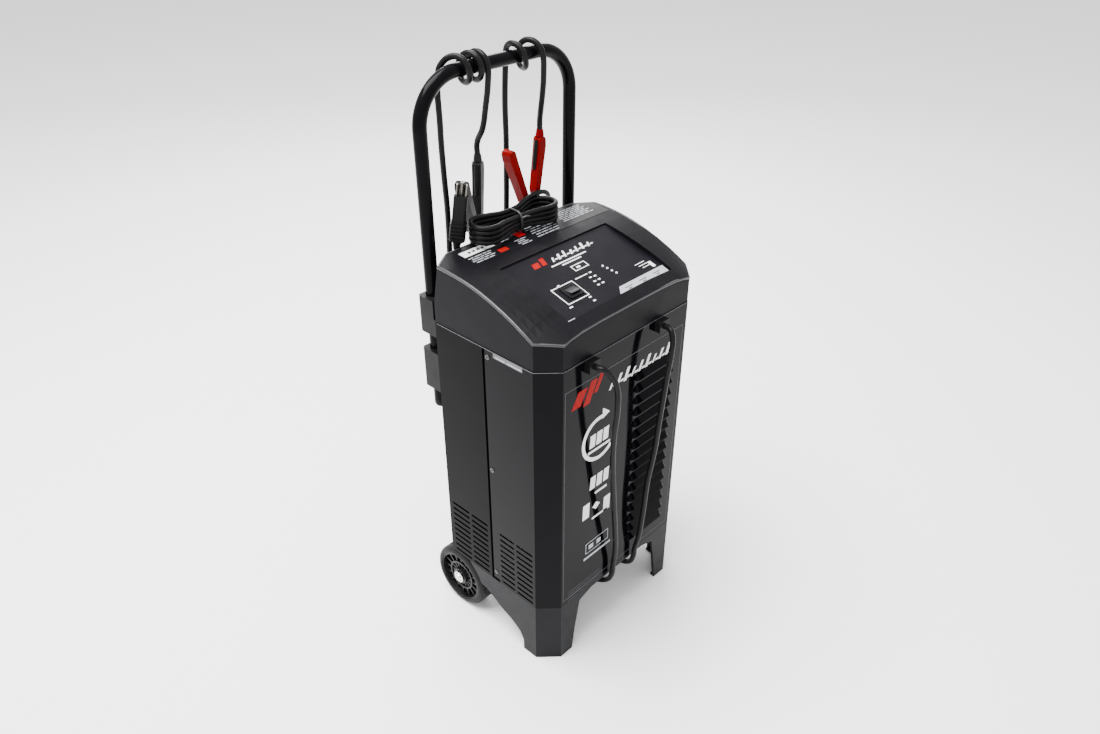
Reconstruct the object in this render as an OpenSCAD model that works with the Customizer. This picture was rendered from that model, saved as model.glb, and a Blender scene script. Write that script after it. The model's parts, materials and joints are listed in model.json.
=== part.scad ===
// Wheeled garage battery charger: sheet-metal cabinet, moulded cap and foot, tube handle,
// two wheels, two DC leads with spring clamps, and a tied hank of mains cord.
// Millimetres. +Z up, the louvred front faces -Y, +X is to the right seen from the front.

/* [View] */
// which piece to build

/* [Cabinet] */
// half of the cabinet's width
half_w = 159; // [120:1:200]
// front panel plane
front_y = -124; // [-160:1:-80]
// rear panel plane
rear_y = 91.5; // [60:0.5:120]
// size of the chamfers between front and sides
chamfer = 27.5; // [10:0.5:50]
// bottom edge of the sheet metal
shell_z0 = 109; // [90:1:140]
// top edge of the sheet metal
shell_z1 = 530; // [400:1:600]
// sheet thickness
sheet_t = 2; // [1:0.5:3]

/* [Louvres and vents] */
// number of hooded louvres on the front
hood_count = 16; // [4:1:20]
// height step from hood to hood
hood_pitch = 20.2; // [15:0.1:30]
// lower lip of the top hood
hood_top_z = 449; // [400:1:500]
// how far a hood stands out
hood_depth = 5.5; // [3:0.5:9]
// height of a hood's slope
hood_rise = 12; // [8:0.5:18]
// number of slots in one side column
slot_count = 10; // [4:1:14]
// height step of the slots
slot_pitch = 10.66; // [8:0.01:14]
// top slot of a column
slot_top_z = 212.5; // [150:0.5:300]
// slot height
slot_h = 4; // [2:0.5:7]

/* [Cap] */
// rear edge of the cap
cap_rear_y = 99.5; // [92:0.5:110]
// wall of the cap
cap_wall = 3; // [2:0.5:5]
// step between the sheet metal and the cap
cap_step = 0.8; // [0.2:0.1:2]

/* [Control bay] */
// slope of the control face in degrees
bay_slope = 15.5; // [5:0.5:30]
// rear edge of the control face
bay_y = 19.5; // [0:0.5:40]
// height of that rear edge
bay_z = 613; // [600:0.5:625]

/* [Foot and wheels] */
// wall of the foot
foot_wall = 4.2; // [3:0.1:8]
// wheel radius
wheel_r = 54; // [40:1:70]
// wheel width
wheel_w = 40; // [25:1:60]
// outer faces of the wheels
wheel_face_x = 160.5; // [140:0.5:200]
// axle position behind the middle
axle_y = 79.5; // [60:0.5:100]
// axle radius
axle_r = 5; // [3:0.5:8]

/* [Handle] */
// tube radius
tube_r = 9.5; // [8:0.5:14]
// tube wall
tube_wall = 1.5; // [1:0.1:3]
// tube axis behind the middle
tube_y = 118; // [110:1:130]
// tube axis beside the middle
tube_x = 139; // [110:1:160]
// height of the handle bar's axis
bar_z = 850; // [700:1:1000]
// bend radius of the tube
bend_r = 64; // [40:1:90]
// lower end of the tube
tube_z0 = 384; // [300:1:450]

/* [Leads] */
// DC lead diameter
lead_d = 8.4; // [6:0.1:12]
// mains cord diameter
mains_d = 7.2; // [6:0.1:10]

/* [Hidden] */
$fn = 48;
tiny = 0.01;
fit_gap = 0.05;
side_front_y = front_y + chamfer;
chamfer_x = half_w - chamfer;
wheel_z = wheel_r;
tan_22 = tan(22.5);
seam_y = -2.5;
seam_front_y = -19.5;
seam_gap = 2;
seam_screw_y = -11;
seam_screw_z = [517, 327, 126];
vent_columns = [[44.5, 82.5], [3.5, 39.5], [-53.5, -23], [-91.5, -58]];
hood_x0 = 22;
hood_x1 = 101;
outlet_x = [-81, 66];
outlet_z = 520;
outlet_boss_z = 514;
outlet_size = [22, 18];
outlet_front_y = -133.5;
wheel_in_x = wheel_face_x - wheel_w;
arch_r = wheel_r + 4;
floor_z = 112;
floor_t = 3;
bracket_x = [110, 116];
collar_y1 = 131.5;
handle_screw_z = [442, 515];
mains_hole = [100, 470];
panel_screw_r = 1.9;

// ---------------------------------------------------------------- plan outline of the cabinet
function plan(d) = [
    [-half_w + d, side_front_y + d * tan_22],
    [-chamfer_x + d * tan_22, front_y + d],
    [chamfer_x - d * tan_22, front_y + d],
    [half_w - d, side_front_y + d * tan_22],
    [half_w - d, rear_y - d],
    [-half_w + d, rear_y - d]
];

module plan_ring(outer, inner, z0, z1) {
    translate([0, 0, z0])
        linear_extrude(z1 - z0)
            difference() {
                polygon(plan(outer));
                polygon(plan(inner));
            }
}

module slab(x0, x1, y0, y1, z0, z1) {
    translate([x0, y0, z0])
        cube([x1 - x0, y1 - y0, z1 - z0]);
}

module both_sides() {
    children();
    mirror([1, 0, 0])
        children();
}

// profile drawn in Y and Z, run along X
module along_x(x0, x1) {
    translate([x0, 0, 0])
        rotate([90, 0, 90])
            linear_extrude(x1 - x0)
                children();
}

// profile drawn in X and Z, run along Y
module along_y(y0, y1) {
    translate([0, y1, 0])
        rotate([90, 0, 0])
            linear_extrude(y1 - y0)
                children();
}

module rod_x(x0, x1, y, z, r) {
    translate([x0, y, z])
        rotate([0, 90, 0])
            cylinder(h = x1 - x0, r = r);
}

module rod_y(y0, y1, x, z, r) {
    translate([x, y0, z])
        rotate([-90, 0, 0])
            cylinder(h = y1 - y0, r = r);
}

module rounded_rect(x0, x1, y0, y1, r) {
    translate([x0 + r, y0])
        square([x1 - x0 - 2 * r, y1 - y0]);
    translate([x0, y0 + r])
        square([x1 - x0, y1 - y0 - 2 * r]);
    for (x = [x0 + r, x1 - r], y = [y0 + r, y1 - r])
        translate([x, y])
            circle(r = r);
}

// ---------------------------------------------------------------- sheet-metal cabinet
module vent_slots(columns) {
    along_x(-half_w - 1, half_w + 1)
        for (c = columns, i = [0 : slot_count - 1])
            rounded_rect(min(c), max(c), slot_top_z - i * slot_pitch - slot_h / 2,
                         slot_top_z - i * slot_pitch + slot_h / 2, 1.9);
}

module hood_profile(depth, rise, drop) {
    polygon([
        [front_y + tiny, -drop],
        [front_y - depth, -drop],
        [front_y - depth, 0],
        [front_y + tiny, rise]
    ]);
}

module hood_bodies(depth, rise, drop) {
    intersection() {
        for (i = [0 : hood_count - 1])
            translate([0, 0, hood_top_z - i * hood_pitch]) {
                along_x(hood_x0, hood_x1)
                    hood_profile(depth, rise, drop);
                for (x = [hood_x0, hood_x1]) {
                    translate([x, front_y, 0])
                        cylinder(h = rise, r1 = depth, r2 = 0.05);
                    if (drop > 0)
                        translate([x, front_y, -drop])
                            cylinder(h = drop, r = depth);
                }
            }
        slab(-half_w, half_w, front_y - 2 * hood_depth, front_y + tiny, shell_z0, shell_z1);
    }
}

module hood_openings() {
    along_y(front_y - tiny, front_y + sheet_t + 1)
        for (i = [0 : hood_count - 1])
            translate([hood_x0 - 2, hood_top_z - i * hood_pitch])
                square([hood_x1 - hood_x0 + 4, hood_rise - 4.5]);
}

module seam_screw_holes(r) {
    for (z = seam_screw_z)
        rod_x(-half_w - 1, half_w + 1, seam_screw_y, z, r);
}

module shell_front() {
    color([0.06, 0.06, 0.07])
        difference() {
            union() {
                intersection() {
                    plan_ring(0, sheet_t, shell_z0, shell_z1);
                    slab(-half_w, half_w, front_y, seam_front_y, shell_z0, shell_z1);
                }
                both_sides() {
                    slab(155.8, half_w - tiny, seam_front_y - 1.2, seam_front_y, shell_z0, shell_z1);
                    slab(155.8, 157, seam_front_y - tiny, seam_y - seam_gap, shell_z0, shell_z1);
                }
                hood_bodies(hood_depth, hood_rise, 0);
            }
            hood_bodies(hood_depth - 1.2, hood_rise - 3, 1);
            hood_openings();
            vent_slots([vent_columns[2], vent_columns[3]]);
            seam_screw_holes(2.1);
            for (x = outlet_x)
                rod_y(front_y - 1, front_y + sheet_t + 1, x, outlet_boss_z, 7.05);
        }
}

module shell_rear() {
    color([0.06, 0.06, 0.07])
        difference() {
            union() {
                intersection() {
                    plan_ring(0, sheet_t, shell_z0, shell_z1);
                    slab(-half_w, half_w, seam_y, rear_y, shell_z0, shell_z1);
                }
                both_sides() {
                    slab(155.8 - tiny, half_w - tiny, seam_y, seam_y + 1.2, shell_z0, shell_z1);
                    slab(154.6, 155.8, seam_front_y - 1.2, seam_y + 1.2, shell_z0, cap_z0 - 8);
                }
            }
            vent_slots([vent_columns[0], vent_columns[1]]);
            seam_screw_holes(panel_screw_r + fit_gap);
            rod_y(rear_y - sheet_t - 1, rear_y + 1, mains_hole[0], mains_hole[1], 7.05);
            for (x = [-tube_x, tube_x], z = handle_screw_z)
                rod_y(rear_y - sheet_t - 1, rear_y + 1, x, z, 2.45);
        }
}

module body_screws() {
    color([0.12, 0.12, 0.12])
        both_sides()
            for (z = seam_screw_z) {
                rod_x(146, 157.1, seam_screw_y, z, panel_screw_r);
                translate([157, seam_screw_y, z])
                    rotate([0, 90, 0])
                        difference() {
                            rotate_extrude()
                                polygon([[0, 0], [4, 0], [4, 0.7], [3.2, 1.6], [1.8, 2], [0, 2]]);
                            for (a = [0, 90])
                                rotate([0, 0, a])
                                    translate([-2, -0.4, 1])
                                        cube([4, 0.8, 2]);
                        }
            }
}

// ---------------------------------------------------------------- cap
crown_base = 41;
crown_r = 580;
crown_y = 97.5;
ridge_base = 272.5;
ridge_r = 346;
ridge_y = 77.5;
edge_power = 5.5;
cap_z0 = shell_z1;
cap_band_z = 560;
cap_w = half_w - cap_step;
cap_front_y = front_y + cap_step;
rear_cut_y = 79.5;
rear_cut_w = 127;
rear_cut = (cap_w - rear_cut_w) / (cap_rear_y - rear_cut_y);
edge_x = 118;
bay_x = [-101.5, 112.5];
bay_front_y = -104.5;
bay_side = 0.1;

function crown_z(y) = crown_base + sqrt(pow(crown_r, 2) - pow(y - crown_y, 2));
function ridge_z(y) = ridge_base + sqrt(pow(ridge_r, 2) - pow(y - ridge_y, 2));
function cap_z(x, y) = crown_z(y) - (crown_z(y) - ridge_z(y)) * pow(abs(x) / half_w, edge_power);
function bay_face_z(y) = bay_z + (y - bay_y) * tan(bay_slope);

// cross lines of the cap: Y, shift of the inner skin, and 1 inside the control bay
cap_rows = [
    [cap_front_y, cap_wall, 0],
    [-114, 2.1, 0],
    [bay_front_y - bay_side, -cap_wall, 0],
    [bay_front_y + bay_side, -cap_wall - bay_side, 1],
    [side_front_y, 1.2, 1],
    [-82, 0, 1],
    [-64, 0, 1],
    [-44, 0, 1],
    [-22, 0, 1],
    [0, 0, 1],
    [bay_y, cap_wall + bay_side, 1],
    [bay_y + 2 * bay_side, cap_wall + 2 * bay_side, 0],
    [32, 0, 0],
    [44, 0, 0],
    [62, 0, 0],
    [rear_cut_y, -1.6, 0],
    [88, -2.5, 0],
    [96, -2.5, 0],
    [cap_rear_y, -cap_wall, 0]
];
edge_steps = [0.25, 0.55, 0.8, 0.93, 1];
// lengthwise lines: X, share of the way to the side edge, shift of the inner skin, 1 inside the bay
cap_columns = concat(
    [for (k = [4 : -1 : 0]) [-edge_x, -edge_steps[k], 0, 0]],
    [
        [-edge_x, 0, 0, 0],
        [bay_x[0] - bay_side, 0, -cap_wall, 0],
        [bay_x[0] + bay_side, 0, -cap_wall - bay_side, 1],
        [-60, 0, 0, 1],
        [-20, 0, 0, 1],
        [20, 0, 0, 1],
        [60, 0, 0, 1],
        [bay_x[1] - bay_side, 0, cap_wall + bay_side, 1],
        [bay_x[1] + bay_side, 0, cap_wall + 2 * bay_side, 0],
        [edge_x, 0, 0.5, 0]
    ],
    [for (k = [0 : 4]) [edge_x, edge_steps[k], 0, 0]]
);
rows_n = len(cap_rows);
cols_n = len(cap_columns);
cap_rim = concat(
    [for (i = [0 : cols_n - 1]) [0, i]],
    [for (j = [1 : rows_n - 1]) [j, cols_n - 1]],
    [for (i = [cols_n - 2 : -1 : 0]) [rows_n - 1, i]],
    [for (j = [rows_n - 2 : -1 : 1]) [j, 0]]
);
rim_n = len(cap_rim);

// half width at Y of the upper edge, and lower down, moved inwards by d
function upper_half(y, d) = min(cap_w - d, y - cap_front_y + chamfer_x - d * sqrt(2),
    cap_w - (y - rear_cut_y) * rear_cut - d * sqrt(1 + rear_cut * rear_cut));
function lower_half(y, d) = min(cap_w - d, y - cap_front_y + chamfer_x - d * sqrt(2),
    cap_w + rear_y - y - d * sqrt(2));
function lower_y(y) =
    y < rear_cut_y ? y : rear_y + (y - rear_cut_y) * (cap_rear_y - rear_y) / (cap_rear_y - rear_cut_y);
function column_x(c, w) = c[0] + c[1] * (w - edge_x);
// d is 0 for the outer skin and the wall thickness for the inner one
function skin_point(j, i, d) =
    let (row = cap_rows[j], c = cap_columns[i], s = d / cap_wall, y = row[0] + s * row[1],
         x = column_x(c, upper_half(y, d)) + s * c[2])
    [x, y, (row[2] * c[3] == 1 ? bay_face_z(y) : cap_z(x, y)) - d];
function band_point(p, d, z) =
    let (row = cap_rows[p[0]], y = lower_y(row[0]) + (d > 0 ? row[1] : 0))
    [column_x(cap_columns[p[1]], lower_half(y, d)), y, z];
// outline of the lip inside the sheet metal, squeezed in from the lower outline
lip_span = [front_y + 2.3, rear_y - 2.3];
function lip_point(p, t, z) =
    let (q = band_point(p, 0, z), k = (q[1] - cap_front_y) / (cap_rear_y - cap_front_y))
    [q[0] * (155.6 - t) / cap_w, lip_span[0] + t + k * (lip_span[1] - lip_span[0] - 2 * t), z];

function rim_ring(first, second) = [for (k = [0 : rim_n - 1], h = [0, 1])
    let (n = (k + 1) % rim_n)
    h == 0 ? [first + k, first + n, second + n] : [first + k, second + n, second + k]];
function rim_edge(first, ring, up) = [for (k = [0 : rim_n - 1], h = [0, 1])
    let (n = (k + 1) % rim_n,
         a = first + cap_rim[k][0] * cols_n + cap_rim[k][1],
         b = first + cap_rim[n][0] * cols_n + cap_rim[n][1])
    up ? (h == 0 ? [a, b, ring + n] : [a, ring + n, ring + k])
       : (h == 0 ? [ring + k, ring + n, b] : [ring + k, b, a])];
function skin_faces(first, flip) = [for (j = [0 : rows_n - 2], i = [0 : cols_n - 2], h = [0, 1])
    let (a = first + j * cols_n + i, b = a + cols_n)
    flip ? (h == 0 ? [a, b + 1, b] : [a, a + 1, b + 1])
         : (h == 0 ? [a, b, b + 1] : [a, b + 1, a + 1])];

// moulded shell with the sunken control bay and the lip, as one skin
module cap_shell() {
    outer_n = rows_n * cols_n;
    inner = outer_n;
    rings = [for (k = [0 : 5]) 2 * outer_n + k * rim_n];
    polyhedron(
        points = concat(
            [for (j = [0 : rows_n - 1], i = [0 : cols_n - 1]) skin_point(j, i, 0)],
            [for (j = [0 : rows_n - 1], i = [0 : cols_n - 1]) skin_point(j, i, cap_wall)],
            [for (p = cap_rim) band_point(p, 0, cap_band_z)],
            [for (p = cap_rim) band_point(p, 0, cap_z0)],
            [for (p = cap_rim) lip_point(p, 0, cap_z0)],
            [for (p = cap_rim) lip_point(p, 0, cap_z0 - 7)],
            [for (p = cap_rim) lip_point(p, 2, cap_z0 - 7)],
            [for (p = cap_rim) band_point(p, cap_wall, cap_band_z - 3)]
        ),
        faces = concat(
            skin_faces(0, false),
            skin_faces(inner, true),
            rim_edge(0, rings[0], true),
            [for (k = [0 : 4]) each rim_ring(rings[k], rings[k + 1])],
            rim_edge(inner, rings[5], false)
        )
    );
}

// frame of the sloping control face: origin at its rear edge, Y up the slope
module on_bay(x, t) {
    translate([0, bay_y, bay_z])
        rotate([bay_slope, 0, 0])
            translate([x, t, 0])
                children();
}

bay_length = (bay_y - bay_front_y) / cos(bay_slope);
switch_at = [-48, -83];
led_at = [[31, -68], [33, -75], [35, -82], [37, -89]];
board_x = [6, 96];
board_t = [-118, -22];
board_drop = 15;
board_posts = [[12, -112], [90, -112], [12, -28], [90, -28]];
tray_t = cap_wall * cos(bay_slope);

module cap() {
    color([0.09, 0.09, 0.1]) {
        difference() {
            cap_shell();
            on_bay(switch_at[0], switch_at[1])
                translate([-10.5, -9, -10])
                    cube([21, 18, 20]);
        }
        for (p = board_posts)
            on_bay(p[0], p[1])
                translate([0, 0, -board_drop])
                    cylinder(h = board_drop - tray_t / 2, r = 4);
    }
}

module control_overlay() {
    color([0.2, 0.2, 0.22])
        on_bay(0, 0)
            linear_extrude(0.5)
                difference() {
                    translate([bay_x[0] + 1, -bay_length + 1])
                        square([bay_x[1] - bay_x[0] - 2, bay_length - 2]);
                    translate([switch_at[0] - 10.5, switch_at[1] - 9])
                        square([21, 18]);
                    for (p = led_at)
                        translate(p)
                            circle(r = 1.7);
                }
}

label_rows = [13, 17];
label_columns = [5, 17];
label_t = 0.4;

// sheet that follows the cap's skin from one of its lines to another
module label_strip() {
    nr = label_rows[1] - label_rows[0] + 1;
    nc = label_columns[1] - label_columns[0] + 1;
    top = nr * nc;
    edge = concat(
        [for (i = [0 : nc - 1]) i],
        [for (j = [1 : nr - 1]) j * nc + nc - 1],
        [for (i = [nc - 2 : -1 : 0]) (nr - 1) * nc + i],
        [for (j = [nr - 2 : -1 : 1]) j * nc]
    );
    color([0.12, 0.12, 0.13])
        polyhedron(
            points = [for (t = [tiny, label_t], j = [0 : nr - 1], i = [0 : nc - 1])
                skin_point(label_rows[0] + j, label_columns[0] + i, 0) + [0, 0, t]],
            faces = concat(
                [for (j = [0 : nr - 2], i = [0 : nc - 2], h = [0, 1])
                    let (a = top + j * nc + i, b = a + nc)
                    h == 0 ? [a, b, b + 1] : [a, b + 1, a + 1]],
                [for (j = [0 : nr - 2], i = [0 : nc - 2], h = [0, 1])
                    let (a = j * nc + i, b = a + nc)
                    h == 0 ? [a, b + 1, b] : [a, a + 1, b + 1]],
                [for (k = [0 : len(edge) - 1], h = [0, 1])
                    let (a = edge[k], b = edge[(k + 1) % len(edge)])
                    h == 0 ? [top + a, top + b, b] : [top + a, b, a]]
            )
        );
}

switch_pin_z = -2;

module switch_bezel() {
    color([0.03, 0.03, 0.03])
        on_bay(switch_at[0], switch_at[1]) {
            difference() {
                union() {
                    translate([0, 0, 0.5])
                        linear_extrude(2)
                            rounded_rect(-13.5, 13.5, -12, 12, 2);
                    translate([-10.4, -8.9, -14])
                        cube([20.8, 17.8, 14.6]);
                }
                translate([-8.8, -7.4, -12])
                    cube([17.6, 14.8, 20]);
                translate([-10, 0, switch_pin_z])
                    rotate([0, 90, 0])
                        cylinder(h = 20, r = 1.25);
            }
            for (x = [-5, 5])
                translate([x - 0.4, -3, -22])
                    cube([0.8, 6, 8.5]);
        }
}

module switch_rocker() {
    color([0.05, 0.05, 0.05])
        on_bay(switch_at[0], switch_at[1]) {
            along_x(-8.5, 8.5)
                polygon([[-6.6, 5.6], [-4, 4.5], [0, 3.2], [4, 2.6], [6.6, 2.4],
                         [5.4, -3], [1.5, -5], [-1.5, -5], [-5.4, -3]]);
            translate([-9.9, 0, switch_pin_z])
                rotate([0, 90, 0])
                    cylinder(h = 19.8, r = 1.2);
        }
}

module status_leds() {
    color([0.8, 0.8, 0.8])
        for (p = led_at)
            on_bay(p[0], p[1]) {
                rotate_extrude($fn = 24)
                    polygon([[0, tiny], [1.6, tiny], [1.6, 1], [1.4, 1.6], [0.9, 2.1], [0, 2.3]]);
            }
}

module control_board() {
    color([0.1, 0.3, 0.15])
        on_bay(0, 0)
            translate([0, 0, -board_drop - 1.6])
                linear_extrude(1.6)
                    difference() {
                        polygon([
                            [board_x[0], board_t[0]],
                            [board_x[1], board_t[0]],
                            [board_x[1], board_t[1]],
                            [board_x[0], board_t[1]]
                        ]);
                        for (p = board_posts)
                            translate(p)
                                circle(r = 1.5);
                    }
}

module board_screws() {
    color([0.7, 0.7, 0.7])
        for (p = board_posts)
            on_bay(p[0], p[1]) {
                translate([0, 0, -board_drop - 1.7])
                    cylinder(h = 1.7, r = 1.4);
                translate([0, 0, -board_drop - 3.2])
                    cylinder(h = 1.6, r = 2.8);
            }
}

// ---------------------------------------------------------------- foot
foot_arch = [[-69.5, -1], [-69.5, 19], [-61.5, 34], [-43.5, 46], [-18.5, 56], [2.5, 69], [15.5, 75],
             [25.5, 76],
             [40, 97], [60, 120], [110, 120], [110, -1]];

module foot_base() {
    color([0.04, 0.04, 0.04])
        difference() {
            union() {
                difference() {
                    plan_ring(0, foot_wall, 0, shell_z0);
                    along_x(-half_w - 1, half_w + 1)
                        polygon(foot_arch);
                    along_y(front_y - 1, side_front_y + 60)
                        polygon([[-106, -1], [-100, 40], [-90, 94], [-62, 103], [62, 103],
                                 [90, 94], [100, 40], [106, -1]]);
                }
                difference() {
                    plan_ring(0, foot_wall, 70, shell_z0);
                    along_y(front_y - 1, rear_y + 1)
                        polygon([[-106, 69], [-90, 94], [-62, 103], [62, 103], [90, 94], [106, 69]]);
                    slab(-half_w - 1, half_w + 1, -60, rear_y + 1, 0, shell_z0 + 1);
                }
                plan_ring(2.2, foot_wall, shell_z0 - 3, shell_z0 + 14);
                translate([0, 0, floor_z])
                    linear_extrude(floor_t)
                        polygon(plan(2.3));
                both_sides()
                    along_x(bracket_x[0], bracket_x[1])
                        polygon([[46, floor_z + 1], [58, 44], [70, 38], [88, 38],
                                 [89, 60], [89, floor_z + 1]]);
                foot_pads();
            }
            rod_x(-120, 120, axle_y, wheel_z, axle_r + fit_gap);
            both_sides()
                slab(150, 160, seam_front_y - 4, seam_y + 3, shell_z0, shell_z0 + 20);
            both_sides()
                intersection() {
                    rod_x(118, 170, axle_y, wheel_z, arch_r);
                    slab(118, 170, 0, 140, -1, floor_z);
                }
        }
}

module foot_pads() {
    both_sides()
        linear_extrude(4)
            polygon([[half_w, -72], [half_w, side_front_y], [chamfer_x, front_y], [105.5, front_y],
                     [106, front_y + 8], [128, front_y + 9], [148, side_front_y + 4], [149, -72]]);
}

// ---------------------------------------------------------------- wheels
module wheel_at(side) {
    translate([side * wheel_in_x, axle_y, wheel_z])
        rotate([0, side * 90, 0])
            children();
}

module tyre_form() {
    difference() {
        rotate_extrude($fn = 72)
            polygon([[43, 0.5], [47, 0], [50, 1], [52.5, 3.2], [wheel_r, 7], [wheel_r, 11],
                     [wheel_r - 1.5, 12], [wheel_r - 1.5, 14], [wheel_r, 15], [wheel_r, 18.5],
                     [wheel_r - 1.5, 19.2], [wheel_r - 1.5, 20.8], [wheel_r, 21.5], [wheel_r, 25],
                     [wheel_r - 1.5, 26], [wheel_r - 1.5, 28], [wheel_r, 29], [wheel_r, 33],
                     [52.5, 36.8], [50, 39], [47, 40], [43, 39.5]]);
    }
}

module rim_form() {
    difference() {
        union() {
            rotate_extrude($fn = 72)
                polygon([[axle_r + fit_gap, 1], [12, 1], [13, 24], [40, 26], [40, 2], [43, 1.5],
                         [43, 38.5], [41, 38.5], [40, 29], [27, 29], [26.5, 35], [23.5, 35], [23, 29],
                         [15, 29], [14, 38.5], [axle_r + fit_gap, 38.5]]);
            for (k = [0 : 15])
                rotate([0, 0, k * 22.5])
                    translate([13.5, -1.3, 26])
                        cube([27.5, 2.6, 7.5]);
        }
        for (k = [0 : 15])
            rotate([0, 0, (k + 0.5) * 22.5])
                translate([34, 0, 20])
                    cylinder(h = 14, r = 2.6, $fn = 24);
    }
}

module wheel_left_tyre() {
    color([0.03, 0.03, 0.03])
        wheel_at(-1)
            tyre_form();
}

module wheel_right_tyre() {
    color([0.03, 0.03, 0.03])
        wheel_at(1)
            tyre_form();
}

module wheel_left_rim() {
    color([0.05, 0.05, 0.05])
        wheel_at(-1)
            rim_form();
}

module wheel_right_rim() {
    color([0.05, 0.05, 0.05])
        wheel_at(1)
            rim_form();
}

module axle() {
    color([0.6, 0.6, 0.6])
        rod_x(-162.5, 162.5, axle_y, wheel_z, axle_r);
}

module axle_caps() {
    color([0.75, 0.75, 0.72])
        for (s = [-1, 1])
            translate([s * (wheel_face_x + 0.2), axle_y, wheel_z])
                rotate([0, s * 90, 0])
                    difference() {
                        rotate_extrude()
                            polygon([[0, 0], [10, 0], [10, 0.9], [7.2, 1.4], [6.6, 3], [5, 3.4],
                            [0, 3.5]]);
                        translate([0, 0, -1])
                            cylinder(h = 2.8, r = axle_r);
                    }
}

module axle_spacers() {
    color([0.6, 0.6, 0.6])
        for (s = [-1, 1])
            difference() {
                rod_x(s > 0 ? 116.3 : -120.2, s > 0 ? 120.2 : -116.3, axle_y, wheel_z, 9);
                rod_x(-125, 125, axle_y, wheel_z, axle_r + fit_gap);
            }
}

// ---------------------------------------------------------------- handle
module tube_path(r) {
    both_sides() {
        translate([tube_x, tube_y, tube_z0])
            cylinder(h = bar_z - bend_r - tube_z0, r = r);
        translate([tube_x - bend_r, tube_y, bar_z - bend_r])
            rotate([90, 0, 0])
                rotate_extrude(angle = 90)
                    translate([bend_r, 0])
                        circle(r = r);
    }
    rod_x(-tube_x + bend_r, tube_x - bend_r, tube_y, bar_z, r);
}

module handle_tube() {
    color([0.05, 0.05, 0.05])
        difference() {
            tube_path(tube_r);
            tube_path(tube_r - tube_wall);
            for (x = [-tube_x, tube_x])
                translate([x, tube_y, tube_z0 - 1])
                    cylinder(h = 4, r = tube_r - tube_wall);
            for (x = [-tube_x, tube_x], z = handle_screw_z)
                rod_y(tube_y - 12, tube_y + 12, x, z, 2.45);
        }
}

module tube_plugs() {
    color([0.02, 0.02, 0.02])
        for (x = [-tube_x, tube_x])
            translate([x, tube_y, tube_z0])
                rotate_extrude()
                    polygon([[0, -14], [4, -13.4], [7, -11.6], [9, -8.6], [tube_r, -5], [tube_r, 0],
                             [tube_r - tube_wall - fit_gap, 0], [tube_r - tube_wall - fit_gap, 12],
                             [0, 12]]);
}

module tube_holder(z0, z1, screw_z) {
    difference() {
        translate([0, 0, z0])
            linear_extrude(z1 - z0)
                difference() {
                    union() {
                        rounded_rect(124, 155, 104, collar_y1, 5);
                        translate([124, rear_y])
                            square([31, 20]);
                    }
                    translate([tube_x, tube_y])
                        circle(r = tube_r + fit_gap);
                }
        rod_y(rear_y - 1, collar_y1 + 1, tube_x, screw_z, 2.45);
        rod_y(collar_y1 - 2, collar_y1 + 1, tube_x, screw_z, 4.8);
    }
}

module collar_form() {
    difference() {
        tube_holder(502, 558, handle_screw_z[1]);
        slab(120, 160, rear_y - 1, cap_rear_y + fit_gap, cap_z0 - fit_gap, 600);
    }
}

module collar_left() {
    color([0.04, 0.04, 0.04])
        mirror([1, 0, 0])
            collar_form();
}

module collar_right() {
    color([0.04, 0.04, 0.04])
        collar_form();
}

module bracket_left() {
    color([0.04, 0.04, 0.04])
        mirror([1, 0, 0])
            tube_holder(410, 474, handle_screw_z[0]);
}

module bracket_right() {
    color([0.04, 0.04, 0.04])
        tube_holder(410, 474, handle_screw_z[0]);
}

module handle_screws() {
    color([0.5, 0.5, 0.5])
        for (x = [-tube_x, tube_x], z = handle_screw_z)
            translate([x, collar_y1 - 2, z])
                rotate([90, 0, 0]) {
                    difference() {
                        translate([0, 0, -1.9])
                            cylinder(h = 1.9, r = 4.5);
                        translate([-3, -0.6, -3])
                            cube([6, 1.2, 2]);
                    }
                    cylinder(h = 45, r = 2.4);
                }
}

// ---------------------------------------------------------------- DC outlets
module outlet_form() {
    along_y(outlet_front_y, front_y)
        rounded_rect(-outlet_size[0] / 2, outlet_size[0] / 2,
                     outlet_z - outlet_size[1] / 2, outlet_z + outlet_size[1] / 2, 3);
    rod_y(front_y - tiny, front_y + sheet_t + 5, 0, outlet_boss_z, 7);
    rod_y(front_y + sheet_t + fit_gap, front_y + sheet_t + 3, 0, outlet_boss_z, 8.5);
}

module outlet_neg() {
    color([0.03, 0.03, 0.03])
        translate([outlet_x[0], 0, 0])
            outlet_form();
}

module outlet_pos() {
    color([0.03, 0.03, 0.03])
        translate([outlet_x[1], 0, 0])
            outlet_form();
}

// ---------------------------------------------------------------- swept cords
function unit(v) = v / norm(v);
function lead_dir(p, i) =
    i == 0 ? unit(p[1] - p[0]) :
    i == len(p) - 1 ? unit(p[i] - p[i - 1]) : unit(unit(p[i] - p[i - 1]) + unit(p[i + 1] - p[i]));
// side vector carried along the route without twist
function carry(p, i) =
    i == 0 ? unit(cross(lead_dir(p, 0), abs(lead_dir(p, 0)[0]) < 0.9 ? [1, 0, 0] : [0, 0, 1])) :
    let (s = carry(p, i - 1), t = lead_dir(p, i)) unit(s - t * (s * t));

module swept_cord(route, d, sides) {
    n = len(route);
    polyhedron(
        points = [for (i = [0 : n - 1])
            let (t = lead_dir(route, i), s = carry(route, i), u = cross(t, s))
            for (k = [0 : sides - 1])
                route[i] + d / 2 * (cos(k * 360 / sides) * s + sin(k * 360 / sides) * u)],
        faces = concat(
            [[for (k = [0 : sides - 1]) k]],
            [[for (k = [sides - 1 : -1 : 0]) (n - 1) * sides + k]],
            [for (i = [0 : n - 2], k = [0 : sides - 1], h = [0, 1])
                let (a = i * sides + k, b = i * sides + (k + 1) % sides)
                h == 0 ? [a, a + sides, b + sides] : [a, b + sides, b]]
        )
    );
}

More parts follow.
